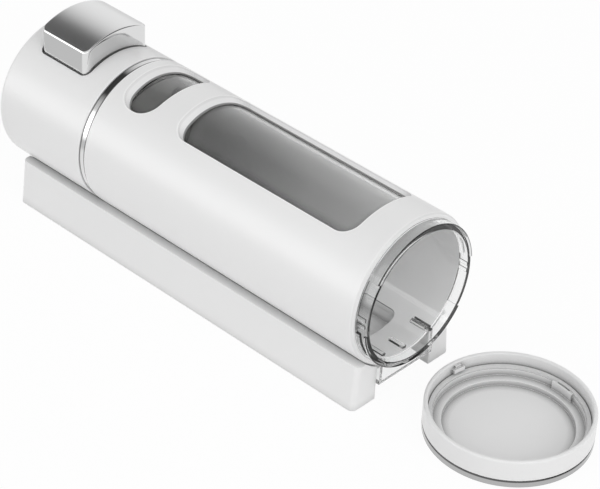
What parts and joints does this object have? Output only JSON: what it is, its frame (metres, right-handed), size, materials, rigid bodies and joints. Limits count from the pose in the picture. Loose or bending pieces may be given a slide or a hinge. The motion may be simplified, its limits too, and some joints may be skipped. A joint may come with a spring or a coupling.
{
  "type": "wall-mounted push-button soap dispenser",
  "caption": "Cylindrical soap dispenser on a wall bracket, with a chrome push button, cut-out windows over a smoke tank, and its filling lid taken off beside the mouth.",
  "frame": {"origin": "middle of the wall bracket's back face, on the wall", "axes": "+X along the dispenser towards the filling mouth, +Y across it, +Z out of the wall"},
  "size_m": [0.3079, 0.0792, 0.0935],
  "materials": {
    "white_plastic": "satin white ABS",
    "smoke_plastic": "clear smoke-grey SAN",
    "chrome_plate": "chrome plated ABS",
    "natural_plastic": "natural polypropylene",
    "screw_steel": "zinc plated steel",
    "spring_steel": "stainless spring wire",
    "seal_rubber": "black nitrile rubber",
    "silicone": "translucent silicone"
  },
  "bodies": {
    "bracket": {"wall_bracket": "white_plastic"},
    "dispenser": {"outer_shell": "white_plastic", "tank": "smoke_plastic", "trim_ring": "chrome_plate", "chassis": "natural_plastic", "chassis_screws": "screw_steel", "head_housing": "white_plastic", "head_screws": "screw_steel", "pump_barrel": "natural_plastic", "pump_screws": "screw_steel", "pump_gland": "natural_plastic", "rod_wiper": "seal_rubber", "neck_seal": "seal_rubber", "inlet_valve": "silicone", "outlet_valve": "silicone", "nozzle": "natural_plastic"},
    "button": {"button_cap": "chrome_plate", "plunger": "natural_plastic", "piston_seal": "seal_rubber", "return_spring": "spring_steel"},
    "lid": {"lid_body": "white_plastic", "lid_band": "chrome_plate", "lid_gasket": "silicone"}
  },
  "joints": [
    {"name": "dispenser_slide", "type": "slide", "parent": "bracket", "child": "dispenser", "axis": [1, 0, 0], "range_m": [0, 0.012]},
    {"name": "button_press", "type": "slide", "parent": "dispenser", "child": "button", "axis": [0, 0, -1], "range_m": [0, 0.008], "stiffness_N_per_m": 700, "springref_m": -0.006, "deforming": ["return_spring"]},
    {"name": "lid_move", "type": "slide", "parent": "bracket", "child": "lid", "axis": [1, 0, 0], "range_m": [0, 0.04]}
  ]
}
